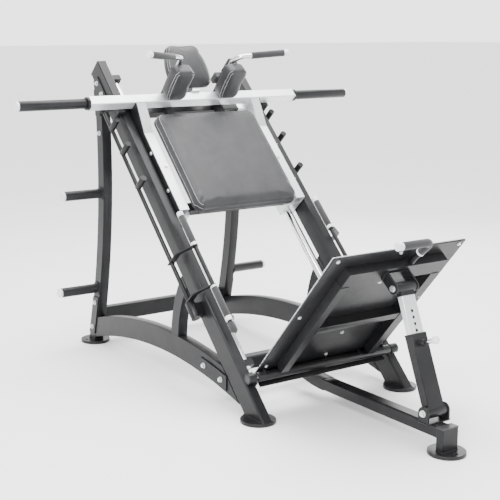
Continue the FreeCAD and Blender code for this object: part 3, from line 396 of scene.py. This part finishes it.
class Pad:
    """One upholstered pad: x across, y along it, z out of its bearing face, from its back face."""

    def __init__(self, name, matrix, low_half, high_half, length, thick, corner, crown, edge,
                 bow=0.0):
        self.name = name
        self.matrix = matrix
        self.low_half = low_half
        self.high_half = high_half
        self.length = length
        self.thick = thick
        self.corner = corner
        self.crown = crown
        self.edge = edge
        self.bow = bow

    def ring(self, inset):
        """The pad's outline, moved in by inset."""
        corner = max(self.corner - inset, self.corner * 0.35)
        return rounded_outline(self.low_half - inset, self.high_half - inset,
                               self.length - 2 * inset, corner, self.bow)

    def shell(self):
        """The closed starting shape: flat back, straight band, rolled edge and crowned face."""
        levels = [(0.0, 0.003), (0.003, 0.0)]
        for degrees in EDGE_TURNS:
            angle = math.radians(degrees)
            drop = self.edge * (1 - math.sin(angle))
            levels.append((self.thick - drop, self.edge * (1 - math.cos(angle))))
        reach = min(self.low_half, self.high_half, self.length / 2) - self.edge
        for part in CROWN_STEPS:
            height = self.thick + self.crown * (1 - (1 - part) ** 2)
            levels.append((height, self.edge + reach * part))
        mesh = bmesh.new()
        rings = []
        for height, inset in levels:
            rings.append([mesh.verts.new((x, y, height)) for x, y in self.ring(inset)])
        for lower, upper in zip(rings, rings[1:]):
            for index in range(len(lower)):
                after = (index + 1) % len(lower)
                mesh.faces.new((lower[index], lower[after], upper[after], upper[index]))
        mesh.faces.new(rings[-1])
        mesh.faces.new(list(reversed(rings[0])))
        made = bpy.data.meshes.new(self.name)
        mesh.to_mesh(made)
        mesh.free()
        return made

    def swell(self, piece, cap):
        """Inflate the cover under pressure with its back held to the board."""
        back = piece.vertex_groups.new(name="board")
        held = [vertex.index for vertex in piece.data.vertices if vertex.co.z < 0.006]
        back.add(held, 1.0, "REPLACE")
        before = [vertex.co.copy() for vertex in piece.data.vertices]
        cloth = piece.modifiers.new("cloth", "CLOTH")
        settings = cloth.settings
        settings.quality = 4
        settings.mass = 0.4
        settings.use_pressure = True
        settings.uniform_pressure_force = 4
        settings.tension_stiffness = 20
        settings.compression_stiffness = 20
        settings.shear_stiffness = 10
        settings.bending_stiffness = 1.0
        settings.vertex_group_mass = "board"
        settings.effector_weights.gravity = 0
        cloth.collision_settings.use_collision = False
        scene = bpy.context.scene
        for number in range(1, SWELL_FRAMES + 1):
            scene.frame_set(number)
        shown = piece.evaluated_get(bpy.context.evaluated_depsgraph_get())
        swollen = [vertex.co.copy() for vertex in shown.data.vertices]
        piece.modifiers.remove(cloth)
        scene.frame_set(1)
        for vertex, start, end in zip(piece.data.vertices, before, swollen):
            move = end - start
            if move.length > cap:
                move *= cap / move.length
            vertex.co = start + move

    def build(self, cap=0.006):
        mesh = self.shell()
        piece = new_object(self.name, mesh, LEATHER)
        remesh = piece.modifiers.new("remesh", "REMESH")
        remesh.mode = "VOXEL"
        remesh.voxel_size = VOXEL
        shown = piece.evaluated_get(bpy.context.evaluated_depsgraph_get())
        dense = bpy.data.meshes.new_from_object(shown)
        piece.modifiers.clear()
        piece.data = dense
        self.swell(piece, cap)
        self.press_seam(piece)
        soften = piece.modifiers.new("soften", "SMOOTH")
        soften.factor = 0.5
        soften.iterations = 3
        finer = piece.modifiers.new("finer", "SUBSURF")
        finer.levels = 1
        finer.render_levels = 1
        piece.data.polygons.foreach_set("use_smooth", [True] * len(piece.data.polygons))
        piece.matrix_world = self.matrix
        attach(piece, "sled")
        self.piece = piece
        return piece

    def press_seam(self, piece):
        """Draw the cover in along the two seams that run up the pad's sides."""
        line = [Vector((x, y)) for x, y in self.ring(self.edge * SEAM_INSET)]
        for vertex in piece.data.vertices:
            if vertex.co.z < self.thick * 0.5:
                continue
            flat = Vector((vertex.co.x, vertex.co.y))
            if not self.beside_side_seam(flat):
                continue
            near = min(segment_distance(flat, line[index - 1], line[index])
                       for index in range(len(line)))
            if near < SEAM_REACH:
                vertex.co.z -= SEAM_DEPTH * (1 - near / SEAM_REACH) ** 2

    def beside_side_seam(self, spot):
        """The cover's front panel wraps over both ends, so its seams run up the two sides only."""
        half = self.low_half + (self.high_half - self.low_half) * (spot.y / self.length + 0.5)
        return abs(spot.x) > half - self.corner * 0.72

    def stitches(self, insets, pitch=0.0062, long=0.0048, radius=0.00075):
        """Two rows of thread, one each side of the seam, laid on the finished cover."""
        bpy.context.view_layer.update()
        surface = BVHTree.FromObject(self.piece, bpy.context.evaluated_depsgraph_get())
        mesh = bmesh.new()
        for inset in insets:
            loop = [Vector((x, y)) for x, y in self.ring(inset)]
            for start, end in even_steps(loop, pitch, long):
                ends = []
                for spot in (start, end):
                    above = Vector((spot.x, spot.y, self.thick + 0.1))
                    hit = surface.ray_cast(above, Vector((0, 0, -1)))
                    if hit[0] is not None:
                        ends.append(hit[0] + hit[1] * radius * 0.35)
                if len(ends) == 2 and self.beside_side_seam(start):
                    add_stitch(mesh, ends[0], ends[1], radius)
        made = bpy.data.meshes.new(self.name + "_stitching")
        mesh.to_mesh(made)
        mesh.free()
        thread = new_object(self.name + "_stitching", made, THREAD)
        thread.matrix_world = self.matrix
        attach(thread, "sled")
        return thread


def segment_distance(point, start, end):
    line = end - start
    part = max(0.0, min(1.0, (point - start).dot(line) / max(line.length_squared, 1e-12)))
    return (point - start - line * part).length


def even_steps(loop, pitch, long):
    """Start and end points of stitches at one pitch round a closed line."""
    total = sum((loop[index] - loop[index - 1]).length for index in range(len(loop)))
    count = round(total / pitch)
    marks = [(index * total / count, index * total / count + long) for index in range(count)]
    spots = []

    def at(distance):
        run = 0.0
        distance %= total
        for index in range(len(loop)):
            start, end = loop[index - 1], loop[index]
            step = (end - start).length
            if run + step >= distance:
                return start.lerp(end, (distance - run) / max(step, 1e-9))
            run += step
        return loop[-1]

    for first, last in marks:
        spots.append((at(first), at(last)))
    return spots


def add_stitch(mesh, start, end, radius):
    """One stitch: a six-sided bead that dips into the cover at both ends."""
    along = (end - start).normalized()
    side = along.cross(Vector((0, 0, 1))).normalized()
    lift = side.cross(along)
    rings = []
    for part, size, drop in STITCH_SHAPE:
        middle = start.lerp(end, part) - lift * radius * drop
        ring = []
        for corner in range(6):
            angle = math.radians(60 * corner)
            offset = side * math.cos(angle) + lift * math.sin(angle)
            ring.append(mesh.verts.new(middle + offset * radius * size))
        rings.append(ring)
    for first, second in zip(rings, rings[1:]):
        for index in range(6):
            after = (index + 1) % 6
            mesh.faces.new((first[index], first[after], second[after], second[index]))
    mesh.faces.new(list(reversed(rings[0])))
    mesh.faces.new(rings[-1])


HEAD_TOP = rail_point(0, 0.1560, 0.026)
HEAD_FOOT = rail_point(0, 0.0971, 0.2545)
HEAD_UP = (HEAD_TOP - HEAD_FOOT).normalized()
HEAD_OUT = ACROSS.cross(HEAD_UP)
SHOULDER_LEAN = math.radians(8.3)
SHOULDER_UP = OFF_RAIL * math.cos(SHOULDER_LEAN) + UP_RAIL * math.sin(SHOULDER_LEAN)
SHOULDER_OUT = ACROSS.cross(SHOULDER_UP)

back_middle = rail_point(0, 0.0224, (0.401 + 0.977) / 2)
back_cushion = Pad("back_cushion", frame_matrix(back_middle, ACROSS, UP_RAIL),
                   0.293, 0.293, 0.571, 0.052, 0.045, 0.004, 0.017)
head_middle = (HEAD_TOP + HEAD_FOOT) / 2 - HEAD_OUT * 0.054
head_cushion = Pad("head_cushion", frame_matrix(head_middle, ACROSS, HEAD_UP),
                   0.118, 0.100, 0.232, 0.043, 0.038, 0.009, 0.016, 0.011)
shoulder_cushions = []
for side, sign in SIDES.items():
    foot = rail_point(sign * 0.155, 0.084, 0.356)
    middle = foot + SHOULDER_UP * 0.092 - SHOULDER_OUT * 0.071
    upright = frame_matrix(middle, ACROSS, SHOULDER_UP)
    shoulder_cushions.append(Pad(f"shoulder_cushion_{side}", upright, 0.056, 0.056, 0.181, 0.066,
                                 0.030, 0.004, 0.013))
for pad in [back_cushion, head_cushion] + shoulder_cushions:
    pad.build()
    seam = pad.edge * SEAM_INSET
    pad.stitches((seam - STITCH_OFFSET, seam + STITCH_OFFSET))
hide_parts("back_pad")
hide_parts("headrest_pad")
for pad in shoulder_cushions:
    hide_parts("shoulder_pads")


# ------------------------------------------------------------------ weld beads
def rounded_loop(corners, radius, step=0.0011):
    """Evenly spaced points round a closed outline whose corners are rounded."""
    bent = []
    for index, corner in enumerate(corners):
        into = (corners[index - 1] - corner).normalized()
        out = (corners[(index + 1) % len(corners)] - corner).normalized()
        for turn in range(5):
            part = turn / 4
            first = corner + into * radius * (1 - part)
            second = corner + out * radius * part
            bent.append(first.lerp(second, part))
    points = []
    for start, end in zip(bent, bent[1:] + bent[:1]):
        count = max(1, round((end - start).length / step))
        points += [start.lerp(end, number / count) for number in range(count)]
    return points


def add_bead(mesh, points, normal, radius):
    """A fillet of overlapping ripples along a closed loop of points in one plane."""
    rings = []
    sides = 8
    for index, point in enumerate(points):
        along = (points[(index + 1) % len(points)] - points[index - 1]).normalized()
        side = along.cross(normal).normalized()
        ripple = 1 + 0.16 * math.sin(index * 1.45) + 0.05 * math.sin(index * 0.37)
        ring = []
        for corner in range(sides):
            angle = 2 * math.pi * corner / sides
            offset = side * math.cos(angle) + normal * math.sin(angle)
            ring.append(mesh.verts.new(point + offset * radius * ripple))
        rings.append(ring)
    for index in range(len(rings)):
        first, second = rings[index - 1], rings[index]
        for corner in range(sides):
            after = (corner + 1) % sides
            mesh.faces.new((first[corner], first[after], second[after], second[corner]))


def circle(middle, normal, radius):
    """The corners of a circular seam."""
    side = normal.orthogonal().normalized()
    up = normal.cross(side)
    corners = []
    for step in range(18):
        angle = math.radians(20 * step)
        corners.append(middle + (side * math.cos(angle) + up * math.sin(angle)) * radius)
    return corners


BEAD_RADIUS = 0.0026


def welds(name, body, material, seams):
    """One body's beads in one piece; a seam is its corners, plane normal and corner radius."""
    mesh = bmesh.new()
    for corners, normal, corner_radius in seams:
        add_bead(mesh, rounded_loop(corners, corner_radius), normal, BEAD_RADIUS)
    made = bpy.data.meshes.new(name)
    mesh.to_mesh(made)
    mesh.free()
    piece = new_object(name, made, material)
    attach(piece, body)


def upright_back(height):
    """How far back the upright's centre line is at a height."""
    return 4.181 - math.sqrt(3.250 ** 2 - (height - 0.920) ** 2)


VERTICAL = Vector((0, 0, 1))


def flat_seam(x_range, y_range, height):
    """A rectangular seam on a level face."""
    (left, right), (front, back) = x_range, y_range
    return ([Vector((left, front, height)), Vector((right, front, height)),
             Vector((right, back, height)), Vector((left, back, height))], VERTICAL, 0.004)


frame_seams = [flat_seam((-0.041, 0.041), (-1.0815, -1.0435), 0.014)]
sled_seams = []
foot_seams = []
for sign in SIDES.values():
    inner, outer = sorted((sign * 0.370, sign * 0.420))
    frame_seams.append(flat_seam((inner, outer), (-0.4513, -0.3125), 0.014))
    rear = upright_back(0.014)
    frame_seams.append(flat_seam((inner, outer), (rear - 0.031, rear + 0.031), 0.014))
    ear = sorted((sign * 0.051, sign * 0.059))
    frame_seams.append(flat_seam(ear, (-1.018, -0.964), 0.1115))
    for height in (0.300, 0.800):
        spot = Vector((sign * 0.4205, upright_back(height), height))
        frame_seams.append((circle(spot, ACROSS, 0.032), ACROSS, 0.002))
    middle = upright_back(0.148)
    rear_tube = ((-0.025, -0.040), (0.025, -0.040), (0.025, 0.040), (-0.025, 0.040))
    frame_seams.append(([Vector((sign * 0.3695, middle + y, 0.148 + z)) for y, z in rear_tube],
                        ACROSS, 0.008))
    lug = sorted((sign * 0.376, sign * 0.384))
    frame_seams.append(([rail_point(x, 0.0005, u) for x, u in
                         ((lug[0], LUG_U - 0.030), (lug[1], LUG_U - 0.030),
                          (lug[1], LUG_U + 0.030), (lug[0], LUG_U + 0.030))], OFF_RAIL, 0.003))
    bar_end = ((-0.025, -0.025), (0.025, -0.025), (0.025, 0.025), (-0.025, 0.025))
    sled_seams.append(([rail_point(sign * 0.6015, 0.048 + n, 0.310 + u) for n, u in bar_end],
                       ACROSS, 0.004))
    member_end = ((-0.025, 0.0735), (0.025, 0.0735), (0.025, 0.022), (-0.025, 0.022))
    sled_seams.append(([rail_point(sign * 0.337 + x, n, 0.3355) for x, n in member_end],
                       UP_RAIL, 0.003))
    cheek = sorted((sign * 0.051, sign * 0.059))
    foot_seams.append(([plate_point(x, -0.0495, s) for x, s in
                        ((cheek[0], 0.653), (cheek[1], 0.653),
                         (cheek[1], 0.701), (cheek[0], 0.701))], OFF_PLATE, 0.003))
    stringer = sorted((sign * 0.222, sign * 0.262))
    foot_seams.append(([plate_point(x, m, 0.6395) for x, m in
                        ((stringer[0], -0.049), (stringer[1], -0.049), (stringer[1], -0.0095),
                         (stringer[0], -0.0095))], UP_PLATE, 0.003))
    foot_seams.append(([plate_point(sign * 0.2215, m, s) for m, s in
                        ((-0.049, 0.3295), (-0.049, 0.3705), (-0.0095, 0.3705), (-0.0095, 0.3295))],
                       ACROSS, 0.003))
welds("frame_welds", "frame", BLACK, frame_seams)
welds("sled_welds", "sled", SILVER, sled_seams)
welds("foot_plate_welds", "footplate", BLACK, foot_seams)


# ------------------------------------------------------------------ stage, light and camera
def soft_light(name, place, target, size, power):
    light = bpy.data.lights.new(name, "AREA")
    light.shape = "RECTANGLE"
    light.size, light.size_y = size
    light.energy = power
    lamp = bpy.data.objects.new(name, light)
    bpy.context.scene.collection.objects.link(lamp)
    lamp.location = place
    lamp.rotation_euler = (Vector(target) - Vector(place)).to_track_quat("-Z", "Y").to_euler()


def studio():
    """White surroundings: bright along the horizon and overhead, and dimmer in between."""
    world = bpy.data.worlds.new("studio")
    bpy.context.scene.world = world
    world.use_nodes = True
    background = world.node_tree.nodes["Background"]
    background.inputs["Color"].default_value = (1, 1, 1, 1)
    tree = world.node_tree
    coordinates = tree.nodes.new("ShaderNodeTexCoord")
    direction = tree.nodes.new("ShaderNodeSeparateXYZ")
    tree.links.new(coordinates.outputs["Generated"], direction.inputs["Vector"])
    total = tree.nodes.new("ShaderNodeMath")
    for slot, span in zip(total.inputs, ((0.22, 0.42, 3.0, 0.9), (0.6, 0.95, 0.0, 3.2))):
        glow = tree.nodes.new("ShaderNodeMapRange")
        for name, value in zip(("From Min", "From Max", "To Min", "To Max"), span):
            glow.inputs[name].default_value = value
        tree.links.new(direction.outputs["Z"], glow.inputs["Value"])
        tree.links.new(glow.outputs["Result"], slot)
    tree.links.new(total.outputs["Value"], background.inputs["Strength"])
    bpy.ops.mesh.primitive_plane_add(size=300, location=(0, 0, -0.0005))
    floor = bpy.context.object
    floor.name = "floor"
    made = Nodes("pale_floor")
    made.colour(made.ramp(made.noise(3, 3), [(0.3, (0.93, 0.93, 0.93)), (0.7, (0.95, 0.95, 0.95))]))
    made.rough(made.span(made.noise(5, 3), 0.6, 0.7))
    floor.data.materials.append(made.material)
    soft_light("key", (-3.2, -2.4, 3.8), (0, 0, 0.6), (1.4, 1.4), 200)
    soft_light("top", (0.5, 0.5, 4.2), (0, 0, 0.6), (3.5, 3.5), 280)
    soft_light("rim", (3.0, 2.6, 2.4), (0, 0, 0.8), (1.6, 2.4), 60)


PICTURE = 500
FOCAL_PIXELS = 1079
MIDDLE_X = 198.1
MIDDLE_Y = 197.3


def camera():
    """The photo's own camera: its focal length and optical centre are in pixels of the photo."""
    data = bpy.data.cameras.new("camera")
    data.sensor_width = 36
    data.lens = FOCAL_PIXELS / PICTURE * data.sensor_width
    data.shift_x = (PICTURE / 2 - MIDDLE_X) / PICTURE
    data.shift_y = (MIDDLE_Y - PICTURE / 2) / PICTURE
    made = bpy.data.objects.new("camera", data)
    bpy.context.scene.collection.objects.link(made)
    bpy.context.scene.camera = made
    yaw = math.radians(-32.96)
    pitch = math.radians(-8.58)
    roll = math.radians(-0.23)
    looking = Matrix.Rotation(yaw, 4, "Z") @ Matrix.Rotation(math.radians(90) + pitch, 4, "X")
    place = Matrix.Translation((-2.938, -3.852, 1.590))
    made.matrix_world = place @ looking @ Matrix.Rotation(roll, 4, "Z")


studio()
camera()

bpy.context.view_layer.update()
